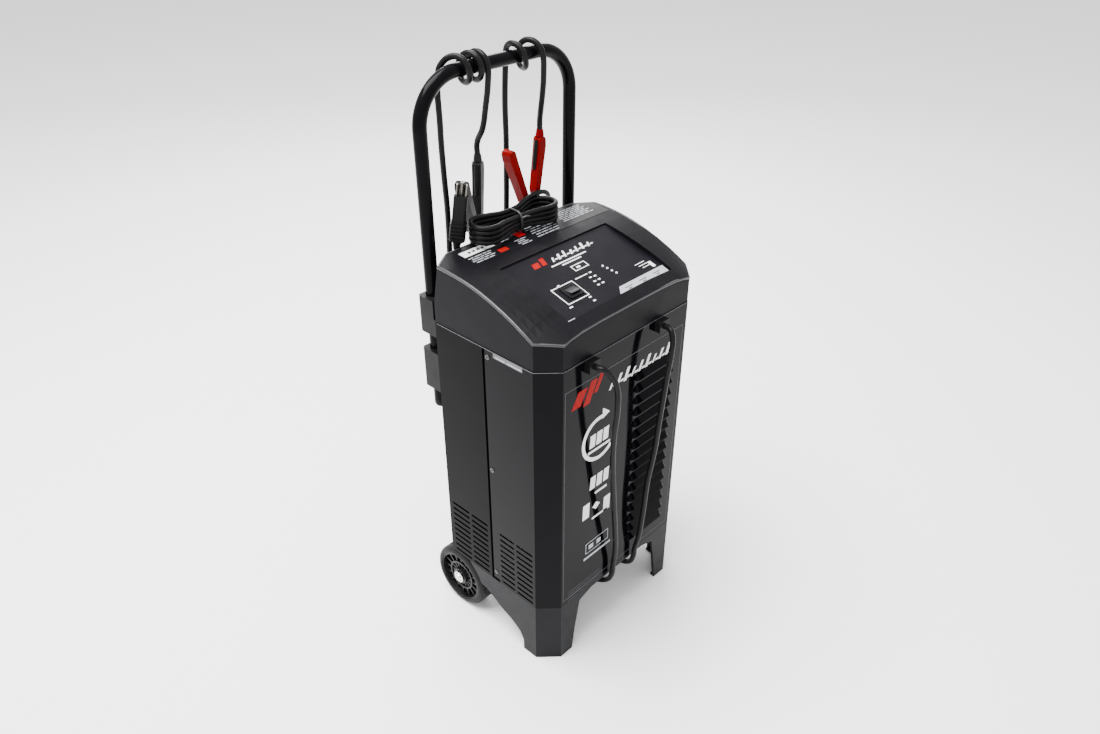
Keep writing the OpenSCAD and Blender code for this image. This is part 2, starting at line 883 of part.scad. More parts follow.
red_at = [58, 118, 604];
red_yaw = 0;
red_lean = -6;
black_at = [-40, 130.5, 588];
black_yaw = 27;
black_lean = -8;
grip_end = [[28, 125], [35.5, 124]];

// point of a clamp's own frame, given in X and Z, after its lean and yaw
function clamp_point(at, yaw, lean, p) =
    let (u = p[0] * cos(lean) + p[1] * sin(lean), w = p[1] * cos(lean) - p[0] * sin(lean))
    at + [u * cos(yaw), u * sin(yaw), w];
// last points of a lead: square onto the end face of the grip
function grip_entry(at, yaw, lean) =
    let (mid = (grip_end[0] + grip_end[1]) / 2, e = unit(grip_end[1] - grip_end[0]), n = [-e[1], e[0]])
    [for (d = [24, 12, 2 * tiny]) clamp_point(at, yaw, lean, mid + d * n)];

wrap_r = 17;
wrap_step = 45;
// turn angle round the bar and place along it: behind, over the top, in front, below
turns_neg = [[0, -88], [90, -73], [270, -60], [450, -50], [630, -42], [810, -37], [900, -35]];
turns_pos = [[0, 30], [90, 27], [180, 32], [270, 45], [360, 52], [450, 58], [540, 66]];

// turns round the handle bar, from behind it, over the top, to the front
function bar_turns(turns) = [
    for (a = [0 : wrap_step : turns[len(turns) - 1][0]])
        [lookup(a, turns), tube_y + wrap_r * cos(a), bar_z + wrap_r * sin(a)]
];

route_neg = concat(
    [[-81, outlet_front_y - tiny, 520], [-81, -139, 520], [-78, -146, 519], [-71, -153, 509],
     [-65, -158, 490], [-62, -158, 455], [-61, -154, 415],
     [-57, -150, 370], [-50, -147, 320], [-42, -145, 265], [-33, -142, 213], [-25, -138, 165],
     [-21, -132, 124],
     [-22, -131, 106], [-25, -125, 92], [-33, -100, 83], [-45, -50, 78], [-55, 20, 77], [-60, 70, 79],
     [-66, 100, 90],
     [-72, 120, 115], [-77, 132, 155], [-80, 142, 240], [-80, 149, 360], [-78, 153, 480], [-75, 153, 580],
     [-77, 149, 650], [-85, 142, 715], [-90, 137, 775]],
    bar_turns(turns_neg),
    [[-34, 103, 828], [-32, 111, 798], [-30, 121, 766]],
    grip_entry(black_at, black_yaw, black_lean)
);
route_pos = concat(
    [[66, outlet_front_y - tiny, 520], [66, -139, 520], [64, -146, 518], [61, -152, 506],
     [57, -154, 487], [51, -154, 450], [46, -151, 379],
     [44, -148, 324], [38, -144, 268], [34, -142, 201], [33, -138, 152], [33, -132, 122],
     [32, -131, 106], [30, -125, 92], [28, -100, 83], [30, -50, 78], [32, 20, 77], [34, 70, 79],
     [36, 100, 90], [38, 120, 115],
     [38, 132, 155], [38, 142, 240], [38, 149, 360], [38, 152, 480], [38, 152, 580], [36, 147, 665],
     [32, 141, 730], [28, 137, 790]],
    bar_turns(turns_pos),
    [[69, 102, 824], [71, 106, 798], [74, 113, 770]],
    grip_entry(red_at, red_yaw, red_lean)
);

module cable_neg() {
    color([0.03, 0.03, 0.03])
        swept_cord(route_neg, lead_d, 8);
}

module cable_pos() {
    color([0.03, 0.03, 0.03])
        swept_cord(route_pos, lead_d, 8);
}

// ---------------------------------------------------------------- spring clamps
arm_half = 5.2;
ear_out = 6.9;
clamp_pin_r = 2.5;

// right arm seen along +Y: outer edge of the strip from handle top to jaw tip
arm_edge = [[30, 116], [13, 48], [10.5, 20], [11.5, 4], [13.5, -10], [12.5, -24], [8, -36], [2.2, -44]];
jaw_teeth = [[0.4, -44], [0.4, -41], [2.4, -39.6], [0.4, -38], [0.4, -36.4], [2.4, -35], [0.4, -33.4],
             [0.4, -31.5]];

module arm_strip() {
    polygon(concat(
        arm_edge,
        jaw_teeth,
        [[6, -30], [11, -22], [11.9, -10], [9.9, 4], [8.9, 20], [11.4, 48.4], [28.4, 116.4]]
    ));
}

module arm_ears(hole_r) {
    difference() {
        union() {
            circle(r = 7);
            polygon([[0, 7], [9.6, 22], [10.8, 20], [11.4, 4], [9, -8], [0, -7]]);
        }
        circle(r = hole_r);
    }
}

module clamp_arm(outer, ear_t, hole_r) {
    along_y(-outer, outer)
        arm_strip();
    for (s = [0, 1])
        mirror([0, s, 0])
            along_y(outer - ear_t, outer)
                arm_ears(hole_r);
}

module grip_form(half) {
    difference() {
        along_y(-half - 1.6, half + 1.6)
            polygon([grip_end[1], [37.5, 120], [36.6, 110], [17.5, 46], [15.4, 38], [9.6, 39], [8.2, 50],
                     [22, 106], [25.5, 122], grip_end[0]]);
        along_y(-half, half)
            arm_strip();
    }
}

// local frame: pivot at the origin, handles up; turned by yaw about Z and by lean in its own plane
module clamp_place(at, yaw, lean) {
    translate(at)
        rotate([0, 0, yaw])
            rotate([0, lean, 0])
                children();
}

module clamp_pin() {
    rod_y(-8.4, 8.4, 0, 0, clamp_pin_r);
    for (y = [-8.4, 7.2])
        rod_y(y, y + 1.2, 0, 0, 4);
}

module clamp_spring() {
    for (k = [-1 : 1])
        translate([0, k * 2.1, 0])
            rotate([90, 0, 0])
                rotate_extrude()
                    translate([4.6, 0])
                        circle(r = 1, $fn = 24);
}

module left_arm() {
    mirror([1, 0, 0])
        clamp_arm(ear_out, 1.6, clamp_pin_r + fit_gap);
}

module left_grip() {
    mirror([1, 0, 0])
        grip_form(ear_out);
}

module red_arm_fixed() {
    color([0.7, 0.7, 0.7])
        clamp_place(red_at, red_yaw, red_lean)
            clamp_arm(arm_half, 1.4, clamp_pin_r);
}

module red_grip_fixed() {
    color([0.7, 0.05, 0.05])
        clamp_place(red_at, red_yaw, red_lean)
            grip_form(arm_half);
}

module red_arm_moving() {
    color([0.7, 0.7, 0.7])
        clamp_place(red_at, red_yaw, red_lean)
            left_arm();
}

module red_grip_moving() {
    color([0.7, 0.05, 0.05])
        clamp_place(red_at, red_yaw, red_lean)
            left_grip();
}

module red_spring() {
    color([0.6, 0.6, 0.6])
        clamp_place(red_at, red_yaw, red_lean)
            clamp_spring();
}

module red_pin() {
    color([0.6, 0.6, 0.6])
        clamp_place(red_at, red_yaw, red_lean)
            clamp_pin();
}

module black_arm_fixed() {
    color([0.7, 0.7, 0.7])
        clamp_place(black_at, black_yaw, black_lean)
            clamp_arm(arm_half, 1.4, clamp_pin_r);
}

module black_grip_fixed() {
    color([0.03, 0.03, 0.03])
        clamp_place(black_at, black_yaw, black_lean)
            grip_form(arm_half);
}

module black_arm_moving() {
    color([0.7, 0.7, 0.7])
        clamp_place(black_at, black_yaw, black_lean)
            left_arm();
}

module black_grip_moving() {
    color([0.03, 0.03, 0.03])
        clamp_place(black_at, black_yaw, black_lean)
            left_grip();
}

module black_spring() {
    color([0.6, 0.6, 0.6])
        clamp_place(black_at, black_yaw, black_lean)
            clamp_spring();
}

module black_pin() {
    color([0.6, 0.6, 0.6])
        clamp_place(black_at, black_yaw, black_lean)
            clamp_pin();
}

// ---------------------------------------------------------------- mains cord
hank_x = [-66, 46];
hank_mid_y = 84;
hank_end_r = 22;
hank_waist = 15;
hank_z = [622.6, 658.6];
tie_t = 1;
tie_w = 9;
plug_at = [-102, 105, 618];
plug_turn = [4.4, 6.6, 43.5];

// point on the plug's axis, d below its cord end
function plug_tail(d) =
    let (tilt = plug_turn[0], lean = plug_turn[1])
    plug_at - d * [cos(tilt) * sin(lean), -sin(tilt), cos(tilt) * cos(lean)];

module power_cord_hank() {
    color([0.03, 0.03, 0.03])
        translate([0, hank_mid_y, hank_z[0]])
            linear_extrude(hank_z[1] - hank_z[0]) {
                for (x = hank_x)
                    translate([x, 0])
                        circle(r = hank_end_r);
                translate([hank_x[0], -hank_waist])
                    square([hank_x[1] - hank_x[0], 2 * hank_waist]);
            }
}

module cord_tie() {
    color([0.05, 0.05, 0.05])
        along_x(-tie_w / 2, tie_w / 2)
            difference() {
                rounded_rect(hank_mid_y - hank_waist - tie_t, hank_mid_y + hank_waist + tie_t,
                             hank_z[0] - tie_t, hank_z[1] + tie_t, 2);
                translate([hank_mid_y - hank_waist, hank_z[0]])
                    square([2 * hank_waist, hank_z[1] - hank_z[0]]);
            }
}

// plug standing on its cord end, blades up
module plug_place() {
    translate(plug_at)
        rotate([0, plug_turn[1], 0])
            rotate([plug_turn[0], 0, 0])
                rotate([0, 0, plug_turn[2]])
                    children();
}

module power_plug() {
    color([0.04, 0.04, 0.04])
        plug_place() {
            translate([0, 0, 12])
                linear_extrude(29)
                    rounded_rect(-8, 8, -10, 10, 5);
            translate([0, 0, 40])
                linear_extrude(36)
                    rounded_rect(-7, 7, -9.5, 9.5, 4);
            rotate_extrude()
                polygon([[0, 0], [4.6, 0], [5.6, 6], [6.8, 13], [0, 13]]);
            for (k = [0 : 4])
                translate([0, 0, 14 + k * 5.4])
                    linear_extrude(2.6)
                        rounded_rect(-9.2, 9.2, -11.2, 11.2, 5.5);
        }
}

module plug_blades() {
    color([0.7, 0.6, 0.35])
        plug_place() {
            for (y = [-6.35, 6.35])
                translate([-3.2, y - 0.75, 76])
                    cube([6.4, 1.5, 16]);
            translate([3.4, 0, 76])
                cylinder(h = 18, r = 2.4);
        }
}

route_mains = [[mains_hole[0], rear_y + 11.5 + tiny, mains_hole[1]], [100, 112, 470], [100, 124, 475],
               [101, 132, 488], [102, 135, 508], [103, 134, 540], [104, 131, 580], [103, 122, 612],
               [98, 108, 636], [86, 93, 645], [76, 84, 645],
               [hank_x[1] + hank_end_r + tiny, hank_mid_y, 645]];
route_tail = [[-14, hank_mid_y + hank_waist + tiny, 627], [-14.5, 102, 627], [-20, 104.4, 624],
              [-32, 104.4, 612],
              [-44, 104, 592], [-55, 104, 576], [-70, 104, 568], [-86, 104, 573], [-97, 104.5, 588],
              [-102.5, 105.4, 604], plug_tail(10), plug_tail(tiny)];

module power_cord_lead() {
    color([0.03, 0.03, 0.03])
        swept_cord(route_mains, mains_d, 8);
}

module power_cord_tail() {
    color([0.03, 0.03, 0.03])
        swept_cord(route_tail, mains_d, 8);
}

module power_cord_gland() {
    color([0.03, 0.03, 0.03])
        translate([mains_hole[0], 0, mains_hole[1]]) {
            rod_y(rear_y, rear_y + 3, 0, 0, 10);
            rod_y(rear_y - sheet_t - 3, rear_y + 0.1, 0, 0, 7);
            translate([0, rear_y + 2.9, 0])
                rotate([-90, 0, 0])
                    cylinder(h = 8.6, r1 = 7, r2 = 5);
        }
}

// ---------------------------------------------------------------- inside the cabinet
core_at = [-50, 0];
core_w = 114;
core_d = 60;
core_z = [120, 215];
window_w = 19;
leg_w = 38;
core_bolt = [50, 8];

module core_bolt_places() {
    for (s = [-1, 1], z = [core_z[0] + core_bolt[1], core_z[1] - core_bolt[1]])
        translate([core_at[0] + s * core_bolt[0], 0, z])
            children();
}

module transformer_core() {
    color([0.3, 0.3, 0.32])
        difference() {
            slab(core_at[0] - core_w / 2, core_at[0] + core_w / 2, core_at[1] - core_d / 2,
                 core_at[1] + core_d / 2, core_z[0], core_z[1]);
            for (s = [-1, 1])
                translate([core_at[0] + s * (leg_w / 2 + window_w / 2), 0, 0])
                    slab(-window_w / 2, window_w / 2, core_at[1] - core_d, core_at[1] + core_d,
                         core_z[0] + window_w, core_z[1] - window_w);
            core_bolt_places()
                rod_y(-core_d, core_d, 0, 0, 2.6);
        }
}

module transformer_coils() {
    color([0.5, 0.25, 0.08])
        translate([core_at[0], core_at[1], core_z[0] + window_w + 1])
            linear_extrude(core_z[1] - core_z[0] - 2 * window_w - 2)
                difference() {
                    rounded_rect(-leg_w / 2 - window_w + 1, leg_w / 2 + window_w - 1,
                                 -core_d / 2 - window_w + 1, core_d / 2 + window_w - 1, 8);
                    translate([-leg_w / 2 - 0.2, -core_d / 2 - 0.2])
                        square([leg_w + 0.4, core_d + 0.4]);
                }
}

module transformer_frame() {
    color([0.5, 0.5, 0.5])
        difference() {
            union() {
                slab(core_at[0] - core_w / 2 - 18, core_at[0] + core_w / 2 + 18, -core_d / 2, core_d / 2,
                     floor_z + floor_t, floor_z + floor_t + 2);
                for (s = [-1, 1])
                    slab(core_at[0] + s * (core_w / 2 + 1) - 1, core_at[0] + s * (core_w / 2 + 1) + 1,
                         -core_d / 2, core_d / 2, floor_z + floor_t, core_z[1]);
                slab(core_at[0] - core_w / 2, core_at[0] + core_w / 2, -core_d / 2, core_d / 2,
                     floor_z + floor_t + 2 - tiny, core_z[0]);
            }
            for (s = [-1, 1])
                translate([core_at[0] + s * (core_w / 2 + 11), 0, floor_z])
                    cylinder(h = 10, r = 2.6);
        }
}

module frame_bolts() {
    color([0.7, 0.7, 0.7])
        core_bolt_places() {
            rod_y(-core_d / 2 - 6, core_d / 2 + 3, 0, 0, 2.5);
            translate([0, core_d / 2 + 3, 0])
                rotate([90, 0, 0])
                    cylinder(h = 3, r = 4.6, $fn = 6);
            translate([0, -core_d / 2, 0])
                rotate([90, 0, 0])
                    cylinder(h = 4, r = 4.6, $fn = 6);
        }
}

sink_x = 77;
sink_z = 230;

module heat_sink() {
    color([0.75, 0.75, 0.78]) {
        slab(sink_x - 45, sink_x + 45, -4, 2, floor_z + floor_t, sink_z);
        slab(sink_x - 45, sink_x + 45, -16, 0, floor_z + floor_t, floor_z + floor_t + 4);
        for (k = [0 : 8])
            slab(sink_x - 44 + k * 10.7, sink_x - 41.6 + k * 10.7, 2 - tiny, 32, 130, sink_z);
    }
}

module diodes() {
    color([0.15, 0.15, 0.15])
        for (x = [sink_x - 24, sink_x + 24], z = [160, 200]) {
            rod_y(-10, -4, x, z, 9);
            rod_y(-16, -10 + tiny, x, z, 2);
        }
}

module circuit_breaker() {
    color([0.1, 0.1, 0.1]) {
        slab(-110, -86, rear_y - sheet_t - 22, rear_y - sheet_t, 330, 362);
        for (z = [338, 354])
            slab(-101, -95, rear_y - sheet_t - 32, rear_y - sheet_t - 22 + tiny, z - 0.5, z + 0.5);
    }
}

cap();
control_overlay();
label_strip();
switch_bezel();
switch_rocker();
status_leds();
control_board();
board_screws();
shell_front();
shell_rear();
body_screws();
foot_base();
axle();
axle_caps();
axle_spacers();
wheel_left_rim();
wheel_left_tyre();
wheel_right_rim();
wheel_right_tyre();
handle_tube();
tube_plugs();
collar_left();
collar_right();
bracket_left();
bracket_right();
handle_screws();
outlet_neg();
outlet_pos();
cable_neg();
cable_pos();
red_arm_fixed();
red_grip_fixed();
red_arm_moving();
red_grip_moving();
red_spring();
red_pin();
black_arm_fixed();
black_grip_fixed();
black_arm_moving();
black_grip_moving();
black_spring();
black_pin();
power_cord_hank();
cord_tie();
power_plug();
plug_blades();
power_cord_lead();
power_cord_tail();
power_cord_gland();
transformer_core();
transformer_coils();
transformer_frame();
frame_bolts();
heat_sink();
diodes();
circuit_breaker();
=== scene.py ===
"""Wheeled garage battery charger: the visual model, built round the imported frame."""
import json
import math

import bmesh
import bpy
from mathutils import Matrix, Vector


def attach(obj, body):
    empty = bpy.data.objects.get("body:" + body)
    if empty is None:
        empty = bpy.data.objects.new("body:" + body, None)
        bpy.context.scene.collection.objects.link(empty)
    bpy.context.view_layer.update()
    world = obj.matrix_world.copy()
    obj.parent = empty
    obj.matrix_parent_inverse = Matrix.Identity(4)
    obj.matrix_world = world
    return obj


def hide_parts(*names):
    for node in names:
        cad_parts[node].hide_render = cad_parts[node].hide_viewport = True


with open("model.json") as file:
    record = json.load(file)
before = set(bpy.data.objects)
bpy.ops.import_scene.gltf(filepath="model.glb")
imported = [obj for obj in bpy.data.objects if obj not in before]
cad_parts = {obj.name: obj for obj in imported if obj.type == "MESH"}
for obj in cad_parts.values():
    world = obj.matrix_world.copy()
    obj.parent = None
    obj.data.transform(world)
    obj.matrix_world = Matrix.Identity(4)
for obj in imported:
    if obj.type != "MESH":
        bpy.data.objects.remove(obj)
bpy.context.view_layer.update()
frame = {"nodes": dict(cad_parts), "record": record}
NODES = frame["nodes"]
MM = 0.001


def mm(p):
    """A point in millimetres as metres."""
    return Vector([v * MM for v in p])


# ------------------------------------------------------------------ camera
CAMERA_AT = (-0.8180, -0.7531, 1.1242)
CAMERA_PITCH = 57.84
CAMERA_YAW = -46.45
CAMERA_LENS = 28.82

cam_data = bpy.data.cameras.new("view_camera")
cam_data.sensor_width = 36.0
cam_data.lens = CAMERA_LENS
cam_data.clip_start = 0.02
cam_data.clip_end = 50.0
camera = bpy.data.objects.new("view_camera", cam_data)
camera.location = CAMERA_AT
camera.rotation_euler = (math.radians(CAMERA_PITCH), 0.0, math.radians(CAMERA_YAW))
bpy.context.scene.collection.objects.link(camera)
bpy.context.scene.camera = camera


# ------------------------------------------------------------------ materials
NOISE_LOW, NOISE_HIGH = 0.3, 0.7


def material(name, color, rough, metal=0.0, tint=0.25, tint_scale=35.0, rough_var=0.06, bump=0.1,
             bump_scale=600.0, bump_depth=0.0002, spec=0.5, stretch=(1, 1, 1)):
    """A procedural finish: mottled colour, varying gloss and a fine surface texture."""
    m = bpy.data.materials.new(name)
    m.use_nodes = True
    nt = m.node_tree
    shader = nt.nodes["Principled BSDF"]
    new, link = nt.nodes.new, nt.links.new
    coord = new("ShaderNodeTexCoord")
    place = new("ShaderNodeMapping")
    place.inputs["Scale"].default_value = stretch
    link(coord.outputs["Object"], place.inputs["Vector"])
    wide = new("ShaderNodeTexNoise")
    wide.inputs["Scale"].default_value = tint_scale
    wide.inputs["Detail"].default_value = 5.0
    link(place.outputs["Vector"], wide.inputs["Vector"])
    ramp = new("ShaderNodeValToRGB")
    low, high = ramp.color_ramp.elements
    low.position, high.position = NOISE_LOW, NOISE_HIGH
    low.color = (*[c * (1.0 - tint) for c in color], 1.0)
    high.color = (*[min(1.0, c * (1.0 + tint)) for c in color], 1.0)
    link(wide.outputs["Fac"], ramp.inputs["Fac"])
    link(ramp.outputs["Color"], shader.inputs["Base Color"])
    gloss = new("ShaderNodeMapRange")
    gloss.inputs["From Min"].default_value = NOISE_LOW
    gloss.inputs["From Max"].default_value = NOISE_HIGH
    gloss.inputs["To Min"].default_value = max(0.02, rough - rough_var)
    gloss.inputs["To Max"].default_value = min(1.0, rough + rough_var)
    link(wide.outputs["Fac"], gloss.inputs["Value"])
    link(gloss.outputs["Result"], shader.inputs["Roughness"])
    fine = new("ShaderNodeTexNoise")
    fine.inputs["Scale"].default_value = bump_scale
    fine.inputs["Detail"].default_value = 3.0
    link(place.outputs["Vector"], fine.inputs["Vector"])
    bumps = new("ShaderNodeBump")
    bumps.inputs["Strength"].default_value = bump
    bumps.inputs["Distance"].default_value = bump_depth
    link(fine.outputs["Fac"], bumps.inputs["Height"])
    link(bumps.outputs["Normal"], shader.inputs["Normal"])
    shader.inputs["Metallic"].default_value = metal
    shader.inputs["Specular IOR Level"].default_value = spec
    return m


MAT = {
    "panel_front": material("front_enamel", (0.0016, 0.0015, 0.0022), 0.09, tint=0.15, rough_var=0.03,
                            bump=0.02, bump_scale=220.0, spec=0.045),
    "panel_side": material("side_enamel", (0.0014, 0.0013, 0.0018), 0.14, tint=0.2, rough_var=0.04,
                           bump=0.03, bump_scale=260.0, spec=0.026),
    "cap_plastic": material("moulded_cap", (0.0036, 0.0032, 0.0042), 0.46, tint=0.12, rough_var=0.05,
                            bump=0.35, bump_scale=1500.0, bump_depth=0.0001, spec=0.05),
    "overlay": material("control_sheet", (0.0045, 0.0041, 0.0058), 0.36, tint=0.1, rough_var=0.04,
                        bump=0.12, bump_scale=1800.0, bump_depth=0.0001, spec=0.06),
    "label": material("label_sheet", (0.004, 0.004, 0.005), 0.42, tint=0.15, rough_var=0.03,
                      bump=0.04, bump_scale=300.0, spec=0.08),
    "black_plastic": material("black_plastic", (0.005, 0.005, 0.0055), 0.42, tint=0.2, rough_var=0.08,
                              bump=0.3, bump_scale=1200.0, bump_depth=0.0001, spec=0.07),
    "black_gloss": material("gloss_plastic", (0.006, 0.006, 0.007), 0.3, tint=0.2, rough_var=0.04,
                            bump=0.05, bump_scale=500.0, spec=0.1),
    "led_lens": material("lens", (0.75, 0.75, 0.78), 0.15, tint=0.05, bump=0.03, spec=0.7),
    "board": material("board_resist", (0.02, 0.11, 0.04), 0.3, tint=0.2, bump=0.1),
    "plated_steel": material("plated_steel", (0.40, 0.40, 0.39), 0.3, metal=1.0, tint=0.12,
                             rough_var=0.1, bump=0.2, bump_scale=900.0, bump_depth=0.0001),
    "black_screw": material("black_screw", (0.05, 0.05, 0.052), 0.3, metal=0.7, tint=0.2, bump=0.1),
    "foot_plastic": material("moulded_foot", (0.005, 0.005, 0.006), 0.38, tint=0.2, rough_var=0.07,
                             bump=0.3, bump_scale=900.0, bump_depth=0.00015, spec=0.07),
    "zinc_cap": material("zinc_cap", (0.78, 0.77, 0.74), 0.22, metal=1.0, tint=0.1, rough_var=0.08,
                         bump=0.15, bump_scale=800.0, bump_depth=0.0001),
    "wheel_plastic": material("wheel_moulding", (0.006, 0.006, 0.0065), 0.36, tint=0.2, bump=0.2,
                              bump_scale=1000.0, bump_depth=0.0001, spec=0.14),
    "wheel_tyre": material("tyre_compound", (0.007, 0.007, 0.007), 0.62, tint=0.3, rough_var=0.1,
                           bump=0.5, bump_scale=700.0, bump_depth=0.0002, spec=0.14),
    "tube_paint": material("tube_enamel", (0.002, 0.002, 0.0025), 0.2, tint=0.15, rough_var=0.05,
                           bump=0.03, bump_scale=300.0, spec=0.045),
    "cord_jacket": material("cord_jacket", (0.005, 0.005, 0.0055), 0.36, tint=0.3, rough_var=0.08,
                            bump=0.25, bump_scale=500.0, bump_depth=0.0002, spec=0.09),
    "red_vinyl": material("red_vinyl", (0.14, 0.0001, 0.0004), 0.5, tint=0.15, rough_var=0.06,
                          bump=0.15, bump_scale=500.0, spec=0.03),
    "black_vinyl": material("black_vinyl", (0.005, 0.005, 0.0055), 0.32, tint=0.25, rough_var=0.06,
                            bump=0.15, bump_scale=500.0, spec=0.16),
    "tie_plastic": material("tie_plastic", (0.018, 0.018, 0.019), 0.4, tint=0.2, bump=0.1),
    "brass_blade": material("blade_metal", (0.16, 0.15, 0.13), 0.35, metal=1.0, tint=0.1, bump=0.1),
    "core_steel": material("core_steel", (0.10, 0.10, 0.11), 0.5, metal=0.6, tint=0.3, bump=0.6,
                           bump_scale=900.0, stretch=(0.05, 1.0, 0.05)),
    "copper_wire": material("enamelled_wire", (0.42, 0.16, 0.05), 0.35, metal=0.4, tint=0.2, bump=0.5,
                            bump_scale=900.0, stretch=(0.1, 0.1, 1.0)),
    "aluminium": material("extruded_aluminium", (0.72, 0.72, 0.74), 0.35, metal=1.0, tint=0.08,
                          bump=0.2, stretch=(1.0, 1.0, 0.1)),
    "white_ink": material("white_ink", (0.72, 0.72, 0.72), 0.45, tint=0.05, tint_scale=300.0, bump=0.1),
    # ink for the front panel's printed outline; its left bar also stands for a painted highlight on the
    # fold to the chamfer
    "outline_ink_and_highlight": material("outline_ink_and_highlight", (0.085, 0.085, 0.09), 0.45, tint=0.08, tint_scale=300.0, bump=0.1,
                         spec=0.1),
    "silver_ink": material("silver_ink", (0.30, 0.31, 0.33), 0.4, tint=0.06, tint_scale=200.0, bump=0.1),
    "red_ink": material("red_ink", (0.24, 0.001, 0.001), 0.5, tint=0.08, tint_scale=300.0, bump=0.1,
                        spec=0.06),
    "dark_ink": material("dark_ink", (0.02, 0.02, 0.022), 0.45, tint=0.1, tint_scale=300.0, bump=0.1),
    "clear_film": material("clear_film", (0.035, 0.035, 0.038), 0.12, tint=0.1, bump=0.05, spec=0.6),
    # a painted highlight: light grey, glossy colour for the line that the sheet's top edge catches under
    # the cap
    "sheet_rim_highlight": material("sheet_rim_highlight", (0.07, 0.07, 0.075), 0.3, tint=0.1, bump=0.1, spec=0.3),
    # a lighter, glossier copy of the cap plastic for the ridge roll: a painted highlight along the cap's
    # ridge
    "cap_ridge_highlight": material("cap_ridge_highlight", (0.018, 0.017, 0.020), 0.34, tint=0.1, bump=0.1, spec=0.4),
}

slot_of = {s["node"]: s["material_slot"] for s in frame["record"]["subparts"]}
for name, node in NODES.items():
    node.data.materials.clear()
    node.data.materials.append(MAT[slot_of[name]])


# ------------------------------------------------------------------ mesh helpers
SMOOTH_ANGLE = 50


def add_mesh(name, verts, faces, mat, smooth=None):
    """A new piece on the charger's body, from points in millimetres."""
    me = bpy.data.meshes.new(name)
    me.from_pydata([tuple(mm(v)) for v in verts], [], faces)
    me.validate()
    bm = bmesh.new()
    bm.from_mesh(me)
    bmesh.ops.recalc_face_normals(bm, faces=bm.faces)
    bm.to_mesh(me)
    bm.free()
    obj = bpy.data.objects.new(name, me)
    bpy.context.scene.collection.objects.link(obj)
    me.materials.append(MAT[mat])
    if smooth is not None:
        shade(obj, smooth)
    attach(obj, "charger")
    return obj


def shade(obj, angle):
    """Smooth shading except over edges sharper than angle degrees."""
    me = obj.data
    bm = bmesh.new()
    bm.from_mesh(me)
    limit = math.radians(angle)
    for f in bm.faces:
        f.smooth = True
    for e in bm.edges:
        e.smooth = not (len(e.link_faces) == 2 and e.calc_face_angle(0.0) > limit)
    bm.to_mesh(me)
    bm.free()


def sweep(name, path, radii, mat, sides=14, closed=False, slot=None):
    """A round tube through points in millimetres, with its own radius at each point."""
    pts = [Vector(p) for p in path]
    n = len(pts)
    verts, faces = [], []
    side = None
    for i, p in enumerate(pts):
        before = pts[i - 1] if (i > 0 or closed) else p
        after = pts[(i + 1) % n] if (i < n - 1 or closed) else p
        t = (after - before).normalized()
        if side is None:
            across = Vector((0, 0, 1)) if abs(t.z) < 0.9 else Vector((1, 0, 0))
            side = t.cross(across).normalized()
        side = (side - t * side.dot(t)).normalized()
        up = t.cross(side)
        for k in range(sides):
            a = 2 * math.pi * k / sides
            verts.append(p + (side * math.cos(a) + up * math.sin(a)) * radii[i])
    for i in range(n if closed else n - 1):
        j = (i + 1) % n
        for k in range(sides):
            m = (k + 1) % sides
            faces.append((i * sides + k, i * sides + m, j * sides + m, j * sides + k))
    if not closed:
        faces.append(tuple(range(sides - 1, -1, -1)))
        faces.append(tuple((n - 1) * sides + k for k in range(sides)))
    return add_mesh(name, verts, faces, mat, SMOOTH_ANGLE)


def ink(name, outlines, place, mat, thick=0.1):
    """Printed shapes: flat outlines (u, v) raised by thick above the surface given by place(u, v, h)."""
    verts, faces = [], []
    for line in outlines:
        k0, n = len(verts), len(line)
        verts += [place(u, v, 0.0) for u, v in line] + [place(u, v, thick) for u, v in line]
        faces.append(tuple(range(k0 + n, k0 + 2 * n)))
        faces.append(tuple(range(k0 + n - 1, k0 - 1, -1)))
        for k in range(n):
            m = (k + 1) % n
            faces.append((k0 + k, k0 + m, k0 + n + m, k0 + n + k))
    return add_mesh(name, verts, faces, mat)


def bar(u0, u1, v0, v1, slant=0.0):
    """Outline of a bar, its top moved sideways by slant."""
    return [(u0, v0), (u1, v0), (u1 + slant, v1), (u0 + slant, v1)]


def frame_bars(u0, u1, v0, v1, w):
    """Four bars round a rectangle, w wide."""
    return [bar(u0, u1, v0, v0 + w), bar(u0, u1, v1 - w, v1), bar(u0, u0 + w, v0 + w, v1 - w),
            bar(u1 - w, u1, v0 + w, v1 - w)]


def round_edges(names, width, segments, angle):
    """A small rounding on the sharp edges of carried-over nodes."""
    for name in names:
        mod = NODES[name].modifiers.new("rounding", "BEVEL")
        mod.width = width * MM
        mod.segments = segments
        mod.limit_method = "ANGLE"
        mod.angle_limit = math.radians(angle)


# ------------------------------------------------------------------ DC leads
# turns round the handle bar as (angle in degrees, x): 0 is behind the bar, 90 above it
BAR_Y, BAR_Z, WRAP_R, WRAP_STEP = 118.0, 850.0, 17.0, 30
TURNS_NEG = [(0, -88), (90, -73), (270, -60), (450, -50), (630, -42), (810, -37), (900, -35)]
TURNS_POS = [(0, 30), (90, 27), (180, 32), (270, 45), (360, 52), (450, 58), (540, 66)]


def bar_turns(turns):
    """Points round the handle bar, one for each step of angle."""
    out = []
    for a in range(0, turns[-1][0] + 1, WRAP_STEP):
        for (a0, x0), (a1, x1) in zip(turns, turns[1:]):
            if a0 <= a <= a1:
                x = x0 + (x1 - x0) * (a - a0) / (a1 - a0)
                break
        r = math.radians(a)
        out.append((x, BAR_Y + WRAP_R * math.cos(r), BAR_Z + WRAP_R * math.sin(r)))
    return out


RED_AT, RED_YAW, RED_LEAN = (58.0, 118.0, 604.0), 0.0, -6.0
BLACK_AT, BLACK_YAW, BLACK_LEAN = (-40.0, 130.5, 588.0), 27.0, -8.0
GRIP_END = ((28.0, 125.0), (35.5, 124.0))
TOUCH = 0.02


